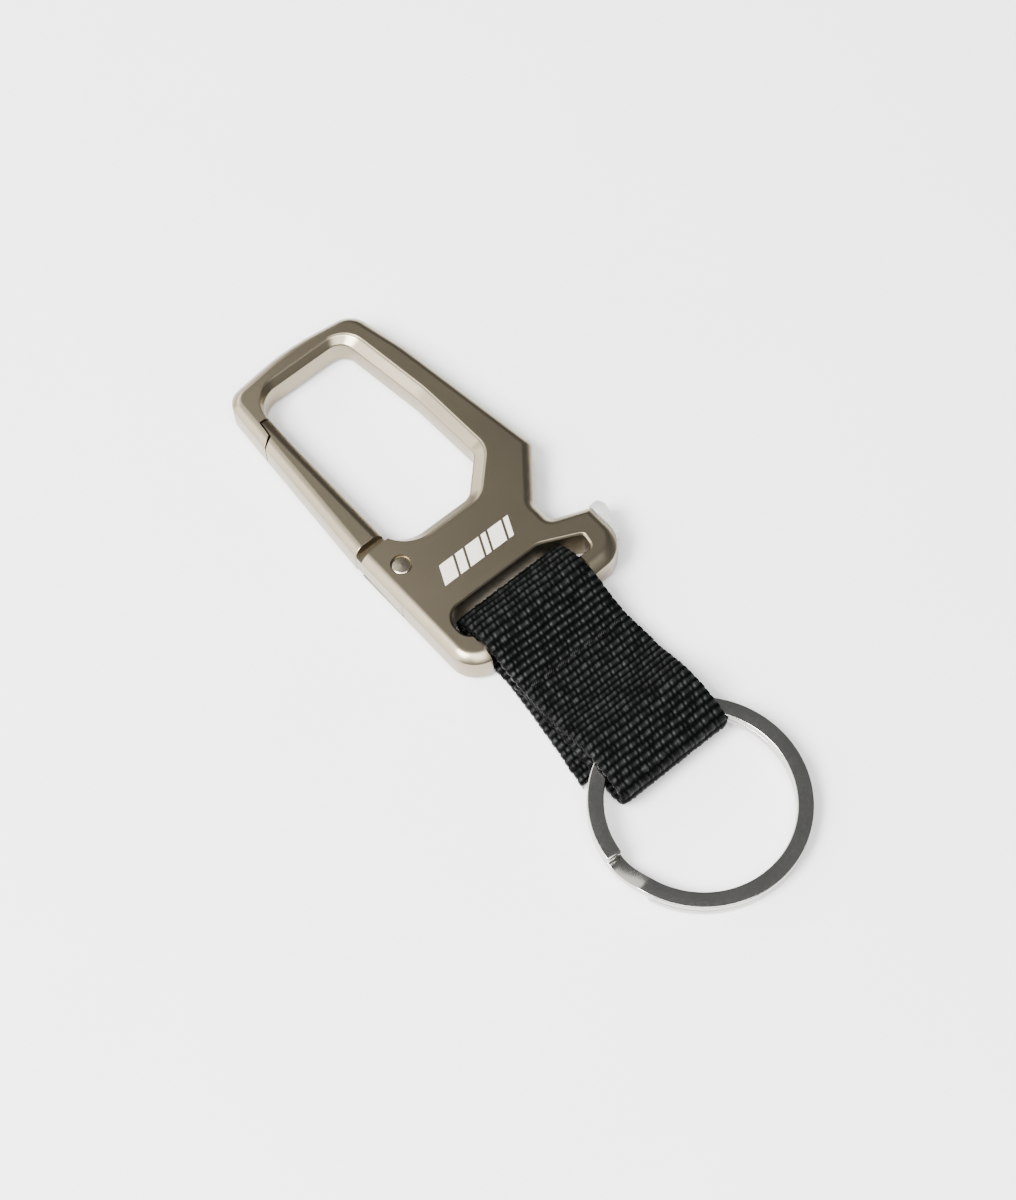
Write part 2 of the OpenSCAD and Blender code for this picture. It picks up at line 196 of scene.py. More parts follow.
def polished(name, tone, rough):
    """Bright plating with a very fine grain."""
    mat, tree, shader = new_material(name)
    coords = object_coords(tree)
    cloud = noise(tree, coords, 160, 2)
    fine = noise(tree, coords, 2600, 3)
    lo, hi = [c * 0.93 for c in tone], [c * 1.07 for c in tone]
    tree.links.new(ramp(tree, cloud, [(0.3, lo), (0.7, hi)]), shader.inputs["Base Color"])
    tree.links.new(grey_ramp(tree, fine, rough * 0.8, rough * 1.2), shader.inputs["Roughness"])
    shader.inputs["Metallic"].default_value = 1.0
    bump(tree, shader, fine, 0.03, 0.00001)
    return mat


# Sockets of the colour mix node: its two colours and its result
MIX_A, MIX_B, MIX_RESULT = 6, 7, 2


def woven(name, groove_shade, yarn_highlight):
    """Black nylon with painted shade: near-black in the grooves, and a painted highlight of cool deep grey on the
    raised yarns, both set by the yarn height.
    """
    mat, tree, shader = new_material(name)
    coords = object_coords(tree)
    height = node(tree, "ShaderNodeAttribute", attribute_name="yarn").outputs["Fac"]
    blotch = noise(tree, coords, 420, 3)
    fibre = noise(tree, coords, 9000, 3, 0.6, stretch=(0.35, 1.0, 1.0))
    # Painted shade and highlight: the colour goes from near-black where the weave is low to a cool grey where it is
    # high.
    base = ramp(tree, height, [(0.30, groove_shade), (0.62, [0.35 * c for c in yarn_highlight]), (0.92, yarn_highlight)])
    tree.links.new(grey_ramp(tree, height, 0.03, 0.19, 0.40, 0.90), shader.inputs["Specular IOR Level"])
    mix = node(tree, "ShaderNodeMix", data_type="RGBA", blend_type="MULTIPLY")
    mix.inputs["Factor"].default_value = 1.0
    tree.links.new(base, mix.inputs[MIX_A])
    tree.links.new(grey_ramp(tree, blotch, 0.72, 1.25, 0.3, 0.72), mix.inputs[MIX_B])
    tree.links.new(mix.outputs[MIX_RESULT], shader.inputs["Base Color"])
    tree.links.new(grey_ramp(tree, fibre, 0.42, 0.62), shader.inputs["Roughness"])
    shader.inputs["Sheen Weight"].default_value = 0.008
    shader.inputs["Sheen Roughness"].default_value = 0.4
    bump(tree, shader, fibre, 0.35, 0.00004)
    return mat


def thread_material(name):
    """Black sewing thread."""
    mat, tree, shader = new_material(name)
    coords = object_coords(tree)
    fibre = noise(tree, coords, 7000, 3, 0.6)
    tree.links.new(ramp(tree, fibre, [(0.3, (0.0004, 0.0005, 0.0004)), (0.75, (0.0040, 0.0048, 0.0044))]),
                   shader.inputs["Base Color"])
    shader.inputs["Roughness"].default_value = 0.5
    shader.inputs["Specular IOR Level"].default_value = 0.14
    bump(tree, shader, fibre, 0.4, 0.00004)
    return mat


def clear_plastic(name):
    """Clear moulded plastic with a slightly uneven finish."""
    mat, tree, shader = new_material(name)
    coords = object_coords(tree)
    fine = noise(tree, coords, 1500, 2)
    tree.links.new(ramp(tree, fine, [(0.3, (0.86, 0.87, 0.85)), (0.7, (0.95, 0.96, 0.94))]),
                   shader.inputs["Base Color"])
    tree.links.new(grey_ramp(tree, fine, 0.08, 0.2), shader.inputs["Roughness"])
    shader.inputs["Transmission Weight"].default_value = 0.72
    shader.inputs["IOR"].default_value = 1.46
    return mat


def etched(name):
    """The bare, frosted look of a laser-etched mark."""
    mat, tree, shader = new_material(name)
    coords = object_coords(tree)
    fine = noise(tree, coords, 4200, 3, 0.6)
    tree.links.new(ramp(tree, fine, [(0.3, (0.62, 0.58, 0.51)), (0.7, (0.78, 0.74, 0.67))]),
                   shader.inputs["Base Color"])
    shader.inputs["Roughness"].default_value = 0.6
    shader.inputs["Metallic"].default_value = 0.25
    return mat


METAL = (0.262, 0.222, 0.158)
metal = coated_metal("satin_coating", METAL, 0.30)
gate_metal = coated_metal("satin_coating_gate", METAL, 0.30)
pin_metal = coated_metal("pin_metal", (0.34, 0.292, 0.22), 0.28)
wire_metal = polished("spring_wire", (0.55, 0.55, 0.55), 0.25)
ring_metal = polished("ring_plating", (0.46, 0.45, 0.42), 0.17)
# The webbing's two colours are painted groove shade and a painted yarn highlight on one black nylon.
cloth = woven("webbing", (0.0006, 0.0008, 0.0007), (0.0072, 0.0088, 0.0080))
thread = thread_material("thread")
clear = clear_plastic("clear_cap")
mark_finish = etched("etched_mark")


# ---------------------------------------------------------------- tubes

def tube(points, radius, sides):
    """Points and faces of a closed tube round a path."""
    p = np.asarray(points, float)
    t = np.gradient(p, axis=0)
    t /= np.linalg.norm(t, axis=1)[:, None] + 1e-12
    ref = np.array([0.0, 0.0, 1.0]) if abs(t[0][2]) < 0.9 else np.array([1.0, 0.0, 0.0])
    a = np.cross(t, ref)
    a /= np.linalg.norm(a, axis=1)[:, None] + 1e-12
    b = np.cross(t, a)
    r = np.broadcast_to(np.asarray(radius, float), (len(p),))
    ang = np.linspace(0, 2 * np.pi, sides, endpoint=False)
    ring = p[:, None, :] + r[:, None, None] * (a[:, None, :] * np.cos(ang)[None, :, None]
                                               + b[:, None, :] * np.sin(ang)[None, :, None])
    verts = ring.reshape(-1, 3)
    quads = [tuple(q) for q in grid_faces(len(p), sides, close_cols=True)]
    return verts, quads + end_caps(len(p), sides)


# ---------------------------------------------------------------- frame and gate, with soft edges

THICK = 6.0
CROWN = 1.05                # height of the rounded edges of the hook and the gate
THROUGH = (-1, 7)           # a cut from below the plate to above it
TAIL_SLOT = (1.3, 4.7)      # height of the space between the cheeks
TAIL = (1.4, 4.6)           # height of the tail in it
SMALLEST_CORNER = 0.12

# x, y, corner radius, width of the bevel on the edge that follows; anticlockwise
FRAME_WALL = [
    (-41.3, -1.7, 3.4, 1.35), (-7.0, -4.05, 20.0, 1.35), (21.2, -4.0, 4.6, 1.85), (19.75, 28.15, 5.0, 1.35),
    (10.75, 28.15, 0.45, 1.35), (8.3, 22.05, 1.0, 1.35), (4.7, 22.05, 1.6, 1.35), (-4.0, 28.95, 1.9, 1.35),
    (-30.5, 25.55, 25.0, 1.35), (-41.2, 23.25, 3.9, 1.35), (-42.89, 11.2, 40.0, 1.35),
]
HOOK_WALL = [
    (-38.2, 1.3, 4.5, -0.4), (-2.85, 1.3, 5.0, -1.5), (-2.85, 15.5, 2.8, -1.8), (-8.5, 21.2, 2.4, -1.7),
    (-22.0, 20.85, 20.0, -1.7), (-38.3, 18.9, 2.8, -1.15),
]
SLOT_WALL = [
    (10.8, -0.7, 2.9, -0.3), (16.6, -0.7, 2.2, -0.3), (16.4, 23.45, 1.0, -0.3), (13.9, 23.9, 0.8, -0.3),
    (10.8, 17.6, 3.0, -0.3),
]
GATE_WALL = [
    (-30.2, -2.47, 0.12, 1.35), (-6.1, -4.05, 0.25, 0.35), (-6.1, 1.35, 0.25, 1.4), (-33.9, 1.35, 0.12, 0.12),
    (-33.9, -0.4, 0.12, 0.12), (-31.15, -0.75, 0.12, 0.25),
]


def offset_outline(corners, share, fine=3.0):
    """The outline after each edge has moved inward by its bevel times share, with rounded corners."""
    c = np.array(corners, float)
    n = len(c)
    p = c[:, :2]
    edge = np.roll(p, -1, axis=0) - p
    edge /= np.linalg.norm(edge, axis=1)[:, None]
    inward = np.stack([-edge[:, 1], edge[:, 0]], axis=1)
    moved, out = np.zeros_like(p), []
    turn = np.zeros(n)
    for i in range(n):
        n1, n2 = inward[i - 1], inward[i]
        d1, d2 = c[i - 1, 3] * share, c[i, 3] * share
        det = n1[0] * n2[1] - n1[1] * n2[0]
        moved[i] = p[i] + np.array([d1 * n2[1] - d2 * n1[1], n1[0] * d2 - n2[0] * d1]) / det
        cross = edge[i - 1][0] * edge[i][1] - edge[i - 1][1] * edge[i][0]
        turn[i] = math.atan2(cross, float(edge[i - 1] @ edge[i]))
    for i in range(n):
        d = (c[i - 1, 3] + c[i, 3]) / 2 * share
        radius = max(c[i, 2] - math.copysign(1, turn[i]) * d, SMALLEST_CORNER)
        steps = max(int(abs(math.degrees(turn[i])) / fine), 2)
        reach = radius * math.tan(abs(turn[i]) / 2)
        start = moved[i] - edge[i - 1] * reach
        side = np.array([-edge[i - 1][1], edge[i - 1][0]]) * math.copysign(1, turn[i])
        centre = start + side * radius
        for k in range(steps + 1):
            a = turn[i] * k / steps
            v = start - centre
            out.append(centre + np.array([v[0] * math.cos(a) - v[1] * math.sin(a),
                                          v[0] * math.sin(a) + v[1] * math.cos(a)]))
    return np.array(out)


def chamfer_levels(depth, soft, step=0.0):
    """Heights and bevel shares from the middle of the wall up to the face, with softened edges."""
    levels = [(THICK / 2, 0.0), (THICK - depth - soft, 0.0), (THICK - depth - soft * 0.45, 0.012),
              (THICK - depth + soft * 0.1, 0.06), (THICK - depth + soft * 0.6, 0.16)]
    if step:
        levels += [(THICK - step - 0.16, 0.80), (THICK - step - 0.05, 0.90), (THICK - step - 0.01, 0.96),
                   (THICK - step, 1.02), (THICK - step + 0.03, 1.055), (THICK - 0.05, 1.07),
                   (THICK - 0.012, 1.10), (THICK, 1.15), (THICK, 1.22)]
    else:
        levels += [(THICK - soft * 0.62, 0.86), (THICK - soft * 0.28, 0.95), (THICK - soft * 0.07, 1.035),
                   (THICK, 1.12), (THICK, 1.18)]
    return levels


def crowned_levels(depth):
    """The same for an edge with a crisp lower corner, then a crown that fades into the face."""
    levels = [(THICK / 2, 0.0), (THICK - depth - 0.14, 0.0), (THICK - depth - 0.06, 0.01),
              (THICK - depth + 0.01, 0.04)]
    for u in np.linspace(0.06, 1.0, 12):
        levels.append((THICK - (depth - 0.02) * (1 - u) ** 1.75, 0.04 + 1.12 * u))
    return levels + [(THICK, 1.22)]


def wall_rings(corners, levels):
    """Rings of one wall from the lower face, through its middle, to the upper face."""
    lower = [(THICK - z, share) for z, share in reversed(levels[1:])]
    rings = []
    for z, share in lower + levels:
        outline = offset_outline(corners, share)
        rings.append(np.column_stack([outline, np.full(len(outline), z)]))
    return rings


def plate(name, walls):
    """A closed plate. walls has the corners and the levels of the outside, then of each hole."""
    verts, faces, base = [], [], 0
    tops, bottoms = [], []
    for corners, levels in walls:
        rings = wall_rings(corners, levels)
        m = len(rings[0])
        verts.append(np.vstack(rings))
        faces += [tuple(q) for q in grid_faces(len(rings), m, base, close_cols=True)]
        bottoms.append((base, m, rings[0]))
        tops.append((base + (len(rings) - 1) * m, m, rings[-1]))
        base += len(rings) * m
    for group in (tops, bottoms):
        loops = [[Vector(v) for v in ring] for _, _, ring in group]
        index = [start + k for start, m, _ in group for k in range(m)]
        faces += [tuple(index[i] for i in tri) for tri in tessellate_polygon(loops)]
    obj = make_mesh(name, np.vstack(verts), faces)
    edit_mesh(obj, weld=True)
    return obj


def prism(name, outline, z0, z1):
    """An upright block with the outline's shape."""
    p = np.array(outline, float)
    n = len(p)
    verts = np.vstack([np.column_stack([p, np.full(n, z0)]), np.column_stack([p, np.full(n, z1)])])
    faces = [tuple(q) for q in grid_faces(2, n, close_cols=True)]
    faces += [tuple(reversed(range(n))), tuple(range(n, 2 * n))]
    obj = make_mesh(name, verts, faces, smooth=False)
    edit_mesh(obj, weld=True)
    return obj


def disc_outline(radius, count=96):
    """A circle about the gate's pivot."""
    a = np.linspace(0, 2 * np.pi, count, endpoint=False)
    return np.stack([radius * np.cos(a), radius * np.sin(a)], axis=1)


def carve(obj, tool, operation="DIFFERENCE"):
    """Applies one boolean and removes the tool."""
    mod = obj.modifiers.new("carve", "BOOLEAN")
    mod.operation = operation
    mod.solver = "EXACT"
    mod.object = tool
    bpy.context.view_layer.update()
    done = bpy.data.meshes.new_from_object(obj.evaluated_get(bpy.context.evaluated_depsgraph_get()))
    obj.modifiers.clear()
    obj.data = done
    bpy.data.objects.remove(tool, do_unlink=True)


def finish_mesh(obj, mat, sharp=38):
    """Smooth shading with sharp edges above the angle, and the material."""
    obj.data.polygons.foreach_set("use_smooth", [True] * len(obj.data.polygons))
    obj.data.set_sharp_from_angle(angle=math.radians(sharp))
    obj.data.materials.clear()
    obj.data.materials.append(mat)


def build_frame():
    """The hook, cut in the order of the CAD, and the bar that the webbing goes round."""
    obj = plate("hook_body", [(FRAME_WALL, crowned_levels(CROWN)), (HOOK_WALL, chamfer_levels(1.1, 0.22, step=0.13)),
                              (SLOT_WALL, chamfer_levels(0.3, 0.1))])
    carve(obj, prism("gap", [(-34.1, 4), (-34.1, -0.5), (-31.35, -0.85), (-30.4, -2.45), (-30.4, -8),
                             (-4.5, -8), (-5.05, 4)], *THROUGH))
    carve(obj, prism("tail_a", disc_outline(3.2), *TAIL_SLOT))
    carve(obj, prism("tail_b", [(-9, -8), (5.1, -8), (5.1, -2.3), (2.7, -1), (0, 0), (-9, 0)], *TAIL_SLOT))
    carve(obj, prism("tail_c", [(-9, -1), (0, -1), (-0.7, 3.1), (-5.6, 4.8), (-9, 6.5)], *TAIL_SLOT))
    seat_depth = 0.55
    for z0, z1 in ((THROUGH[0], seat_depth), (THICK - seat_depth, THROUGH[1])):
        carve(obj, prism("pin_seat", disc_outline(1.7, 90), z0, z1))
    carve(obj, prism("bar_space", [(15.5, 0.2), (23.5, 0.2), (23.5, 21.0), (15.5, 21.0)], *THROUGH))
    edit_mesh(obj, weld=True, fill=True, outward=False)     # the cuts can leave a slit open
    finish_mesh(obj, metal)
    bar_x, bar_z, bar_radius, count = 18.25, 4.0, 1.6, 12
    path = np.stack([np.full(count, bar_x), np.linspace(-0.4, 21.6, count), np.full(count, bar_z)], axis=1)
    bar = make_mesh("hook_bar", *tube(path, bar_radius, 64))
    edit_mesh(bar, weld=True)
    finish_mesh(bar, metal)
    return obj, bar


def build_gate():
    """The blade, and the tail with its two lugs round the pin."""
    obj = plate("gate_blade", [(GATE_WALL, crowned_levels(CROWN))])
    finish_mesh(obj, gate_metal)
    lugs = prism("gate_lugs", disc_outline(3.0), *TAIL)
    heel = [(-6.5, -3.94), (4.7, -4.02), (4.95, -3.78), (4.95, -2.6), (2.4, -1.8), (0, 0), (-2, 2.2), (-6.5, 1)]
    carve(lugs, prism("heel", heel, TAIL[0] + 0.02, TAIL[1] - 0.02), "UNION")
    carve(lugs, prism("pocket", [(-5.6, -1.1), (-2.6, -2.6), (6, -2.6), (6, 4), (-3, 4), (-5.6, -0.3)], 2.2, 3.8))
    carve(lugs, prism("bore", disc_outline(1.25, 64), 0, THICK))
    finish_mesh(lugs, gate_metal, 20)
    return obj, lugs


hook_body, hook_bar = build_frame()
gate_blade, gate_lugs = build_gate()
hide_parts("frame")
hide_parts("gate")
for piece, body, name in ((hook_body, "hook", "coated_metal"), (hook_bar, "hook", "coated_metal"),
                          (gate_blade, "gate", "coated_metal_gate"), (gate_lugs, "gate", "coated_metal_gate")):
    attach(piece, body)

for name, mat in (("pivot_pin", pin_metal), ("gate_spring", wire_metal)):
    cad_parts[name].data.materials.clear()
    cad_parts[name].data.materials.append(mat)


# ---------------------------------------------------------------- webbing

STRAP_Y = 10.6
STRAP_W = 20.0
STRAP_T = 1.3
RIB = 1.2           # spacing of the ribs along the webbing
YARN = 1.05         # spacing of the yarns across it
PLY = 0.70          # spacing of the finer bumps where the plies of a yarn cross
FINE = 8            # points for each rib and each yarn
SEAM_X = 27.7
TAIL_DRIFT = 2.8    # how far the cut end on the ground lies to one side

# Centre line of the webbing in X and Z, from the cut end under the ring, round the bar, over the
# seam, round the ring and back to the cut end inside the seam
ROUTE = [
    (43.4, 0.84), (38.0, 0.84), (31.0, 0.83), (26.5, 0.84), (22.5, 1.0), (18.3, 1.50),
    (15.4, 1.62), (13.1, 1.95), (12.3, 2.85), (12.9, 4.1), (14.5, 5.25), (16.4, 6.0), (18.3, 6.36),
    (20.2, 6.0), (22.2, 5.05), (24.4, 4.15), (26.6, 3.42), (27.8, 3.22), (29.2, 3.38), (32.0, 3.42),
    (35.0, 3.75), (38.2, 4.95), (41.2, 6.0), (43.5, 6.12), (46.5, 5.72), (48.8, 5.15),
    (49.9, 4.2), (50.1, 3.1), (49.4, 1.95), (47.0, 1.5), (44.0, 1.95), (41.0, 2.06),
    (36.0, 2.02), (30.0, 2.0), (25.3, 2.0),
]


def hill(f, power):
    """A rounded hill over one period, with a sharp groove at each end."""
    return np.clip(1 - np.abs(2 * f - 1) ** power, 0, 1) ** 0.68


def edge_lines(u, rng_table):
    """How far each edge strays from straight, by rib."""
    k = u / RIB
    i = np.floor(k).astype(int) % len(rng_table)
    f = k - np.floor(k)
    return 0.22 * hill(f, 2.0) + rng_table[i]


def set_yarn_height(obj, values):
    """Stores how high each point lies in the weave; from it the cloth's material paints shade in the low points and
    a highlight on the high ones.
    """
    attribute = obj.data.attributes.new("yarn", "FLOAT", "POINT")
    attribute.data.foreach_set("value", values.astype(np.float32))


def build_webbing():
    """One length of woven cloth along the route. Returns it with its length."""
    rng = np.random.default_rng(11)
    path, length = smooth_path(ROUTE, RIB / FINE)
    n = len(path)
    u = np.linspace(0, length, n)
    tangent = np.gradient(path, axis=0)
    tangent /= np.linalg.norm(tangent, axis=1)[:, None]
    normal = np.stack([tangent[:, 1], -tangent[:, 0]], axis=1)   # outward on the outside of the loop
    cols = int(round(STRAP_W / YARN * FINE)) + 1
    stray = 0.22        # room left for the edges to stray outward
    v = np.linspace(-STRAP_W / 2 + stray, STRAP_W / 2 - stray, cols)
    ribs = u / RIB
    yarns = (v + STRAP_W / 2) / YARN
    jitter = rng.normal(0, 1, (int(length / RIB) + 4, int(STRAP_W / YARN) + 4))
    wander = rng.normal(0, 1, int(length / RIB) + 4)
    edge_a = np.abs(rng.normal(0, 0.06, 400))
    edge_b = np.abs(rng.normal(0, 0.06, 400))

    def weave(sign):
        """Height of the weave on one side of the cloth. The ribs of the two sides alternate."""
        shift = 0.0 if sign > 0 else 0.5
        rr = ribs[:, None] + shift + 0.04 * np.sin(yarns[None, :] * 0.9 + 1.3 * sign)
        ri = np.floor(rr).astype(int)
        rf = rr - ri
        yy = yarns[None, :] + 0.5 * (ri % 2) + 0.16 * (rf - 0.5) + 0.05 * wander[ri % len(wander)]
        yi = np.floor(yy).astype(int)
        yf = yy - yi
        ply = np.cos(2 * np.pi * yy * YARN / PLY + np.pi * (ri % 2))
        size = 0.92 + 0.14 * ply + 0.12 * jitter[ri % jitter.shape[0], yi % jitter.shape[1]]
        return hill(rf, 1.4) * (0.58 + 0.42 * hill(yf, 2.2)) * size

    half = STRAP_T / 2 - 0.17
    amplitude = 0.34
    # The seam pulls the top layer down in a shallow valley
    along_top = (path[:, 1] > 2.8) & (path[:, 0] > 24) & (path[:, 0] < 32)
    valley = np.where(along_top, np.exp(-((path[:, 0] - SEAM_X) / 0.75) ** 2), 0.0)
    taper = np.clip((STRAP_W / 2 - np.abs(v)) / 0.9, 0, 1) ** 0.5      # thin, rounded selvedges
    left = edge_lines(u, edge_a)
    right = edge_lines(u, edge_b)
    span = np.clip(np.abs(v) / (STRAP_W / 2), 0, 1) ** 8
    yoff = np.where(v[None, :] > 0, right[:, None], -left[:, None]) * span[None, :]
    # The end on the ground drifts to one side, and the upper layers are turned a little, as the eye is
    drift = -TAIL_DRIFT * np.clip((20.0 - u) / 20.0, 0, 1) ** 1.25
    turned = np.clip((path[:, 0] - 33.0) / 17.0, 0, 1)
    skew = np.where(u > 22, -0.75 * turned, 0.0)
    yc = STRAP_Y + drift + skew

    def surface(sign):
        height = weave(sign)
        off = (half * (0.45 + 0.55 * taper)[None, :] + amplitude * height * (0.55 + 0.45 * taper)[None, :]) * sign
        if sign > 0:
            off = off - (0.42 * valley)[:, None]
        x = path[:, 0][:, None] + normal[:, 0][:, None] * off
        z = np.maximum(path[:, 1][:, None] + normal[:, 1][:, None] * off, 0.01)
        y = yc[:, None] + v[None, :] + yoff
        return np.stack([x, y, z], axis=-1), height

    top, top_h = surface(+1)
    under, under_h = surface(-1)
    verts = np.vstack([top.reshape(-1, 3), under.reshape(-1, 3)])
    base = n * cols
    faces = [grid_faces(n, cols, 0), grid_faces(n, cols, base, flip=True)]
    i = np.arange(n - 1)
    for c, flip in ((0, True), (cols - 1, False)):
        quad = np.stack([i * cols + c, (i + 1) * cols + c, base + (i + 1) * cols + c, base + i * cols + c], axis=1)
        faces.append(quad[:, ::-1] if flip else quad)
    j = np.arange(cols - 1)
    for r, flip in ((0, False), (n - 1, True)):
        quad = np.stack([r * cols + j, r * cols + j + 1, base + r * cols + j + 1, base + r * cols + j], axis=1)
        faces.append(quad[:, ::-1] if flip else quad)
    obj = make_mesh("webbing", verts, np.vstack(faces))
    shade = np.concatenate([top_h.ravel(), under_h.ravel()]).astype(np.float32)
    set_yarn_height(obj, np.clip(shade, 0, 1.2) / 1.1)
    edit_mesh(obj)
    obj.data.materials.append(cloth)
    return obj, length


webbing, webbing_length = build_webbing()
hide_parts("strap", "strap_eye")


# ---------------------------------------------------------------- threads

def join_parts(name, parts, mat):
    """One object from many (points, faces) pairs."""
    verts, faces, base = [], [], 0
    for v, f in parts:
        verts.append(v)
        faces += [tuple(i + base for i in face) for face in f]
        base += len(v)
    obj = make_mesh(name, np.vstack(verts), faces)
    edit_mesh(obj)
    obj.data.materials.append(mat)
    return obj


STITCHES = 7
SEAM_MARGIN = 1.0


def stitch_spans():
    """Where each stitch starts and ends across the webbing."""
    pitch = (STRAP_W - 2 * SEAM_MARGIN) / STITCHES
    starts = [STRAP_Y - STRAP_W / 2 + SEAM_MARGIN + pitch * (i + 0.06) for i in range(STITCHES)]
    return [(y0, y0 + pitch * 0.86) for y0 in starts]


def stitch(x, y0, y1, z, lift, ply=3):
    """One stitch of twisted thread that rises out of the cloth and dives back in."""
    t = np.linspace(0, 1, 34)
    y = y0 + (y1 - y0) * t
    arch = np.sin(np.pi * t) ** 0.45
    sunk = 0.42         # depth of the ends below z
    zc = z - sunk + (sunk + lift) * arch
    out = []
    for k in range(ply):
        a = 2 * np.pi * (t * (y1 - y0) / 0.95 + k / ply)
        p = np.stack([x + 0.21 * np.cos(a), y, zc + 0.17 * np.sin(a)], axis=1)
        out.append(tube(p, 0.19, 8))
    return out


def seam(name, z, lift, cad_node, seed):
    """The needle thread: a row of stitches on the cloth."""
    rng = random.Random(seed)
    parts = []
    for y0, y1 in stitch_spans():
        parts += stitch(SEAM_X + rng.uniform(-0.12, 0.12), y0, y1, z, lift + rng.uniform(-0.03, 0.03))
    obj = join_parts(name, parts, thread)
    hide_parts(cad_node)
    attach(obj, "strap")
    return obj


upper_seam = seam("seam_upper", 3.55, 0.44, "needle_thread", 3)


def lower_seam():
    """The bobbin thread: straight stitches in the groove under the cloth."""
    rng = random.Random(5)
    parts, count, z = [], 12, 0.30
    for y0, y1 in stitch_spans():
        x = SEAM_X + rng.uniform(-0.1, 0.1)
        p = np.stack([np.full(count, x), np.linspace(y0, y1, count), np.full(count, z)], axis=1)
        parts.append(tube(p, 0.2, 8))
    obj = join_parts("seam_lower", parts, thread)
    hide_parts("bobbin_thread")
    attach(obj, "strap")
    return obj


seam_below = lower_seam()


# ---------------------------------------------------------------- frayed cut ends

def fray(name, x, z, yc, side, count, reach, seed, body):
    """Loose fibres along a cut end. side is +1 or -1, the way in X that they point."""
    rng = random.Random(seed)
    parts = []
    for i in range(count):
        y = yc - STRAP_W / 2 + STRAP_W * (i + rng.random()) / count
        z0 = z + rng.uniform(-0.42, 0.42)
        long = reach * rng.uniform(0.25, 1.0)
        bend = rng.uniform(-0.5, 0.5)
        t = np.linspace(0, 1, 6)
        p = np.stack([x - side * 0.5 + side * (0.5 + long) * t,
                      y + bend * t**2 * long,
                      np.maximum(z0 + rng.uniform(-0.35, 0.35) * t**2, 0.09)], axis=1)
        parts.append(tube(p, 0.075 * (1 - 0.45 * t), 5))
    obj = join_parts(name, parts, cloth)
    # The loose fibres all take one middle tone of the painted weave shade.
    set_yarn_height(obj, np.full(len(obj.data.vertices), 0.55))
    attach(obj, body)
    return obj


tail_fray = fray("fray_tail", 43.4, 0.72, STRAP_Y - TAIL_DRIFT, 1, 120, 1.1, 21, "strap_end")
inner_fray = fray("fray_inner", 25.3, 2.0, STRAP_Y, -1, 90, 0.5, 22, "strap")


# ---------------------------------------------------------------- split ring

RING = dict(x=57.6, y=8.2, r_out=16.3, wire=2.42, coil=1.27, gap=0.06, tilt=math.radians(5))


def build_ring():
    """Two coils of flat wire. Each coil is level, with one ramp between them."""
    half = RING["coil"] + RING["gap"] / 2
    centre_z = RING["r_out"] * math.sin(RING["tilt"]) + half * math.cos(RING["tilt"])
    rise = RING["coil"] + RING["gap"]
    ramp_a, ramp_b = 266.0, 290.0
    end_gap = 1.2       # degrees between a cut end and the ramp
    start, stop = ramp_b + end_gap - 360.0, ramp_a + 360.0 - end_gap
    angles = np.linspace(start, stop, 560)
    t = np.clip((angles - ramp_a) / (ramp_b - ramp_a), 0, 1)
    lift = rise * (1 - np.cos(np.pi * t)) / 2
    w, h, c = RING["wire"], RING["coil"], 0.17
    section = []
    for cx, cz, a0 in ((w - c, h - c, 0), (c, h - c, 90), (c, c, 180), (w - c, c, 270)):
        for k in range(7):
            a = math.radians(a0 + 15 * k)
            section.append((cx + c * math.cos(a), cz + c * math.sin(a)))
    section = np.array(section)
    m = len(section)
    shrink = np.ones(len(angles))
    shrink[[0, -1]] = 0.86
    mid = np.array([w / 2, h / 2])
    rad = np.radians(angles)
    r_in = RING["r_out"] - w
    pts = np.zeros((len(angles), m, 3))
    for i in range(len(angles)):
        s = mid + (section - mid) * shrink[i]
        r = r_in + s[:, 0]
        pts[i, :, 0] = r * math.cos(rad[i])
        pts[i, :, 1] = r * math.sin(rad[i])
        pts[i, :, 2] = s[:, 1] + lift[i] - half
    ct, st = math.cos(RING["tilt"]), math.sin(RING["tilt"])
    x = pts[..., 0] * ct + pts[..., 2] * st
    z = -pts[..., 0] * st + pts[..., 2] * ct
    verts = np.stack([x + RING["x"], pts[..., 1] + RING["y"], z + centre_z], axis=-1).reshape(-1, 3)
    faces = [tuple(q) for q in grid_faces(len(angles), m, close_cols=True)] + end_caps(len(angles), m)
    obj = make_mesh("ring_wire", verts, faces)
    edit_mesh(obj)
    obj.data.materials.append(ring_metal)
    return obj


ring = build_ring()
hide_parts("split_ring")
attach(ring, "ring")


# ---------------------------------------------------------------- clear cap on the tab

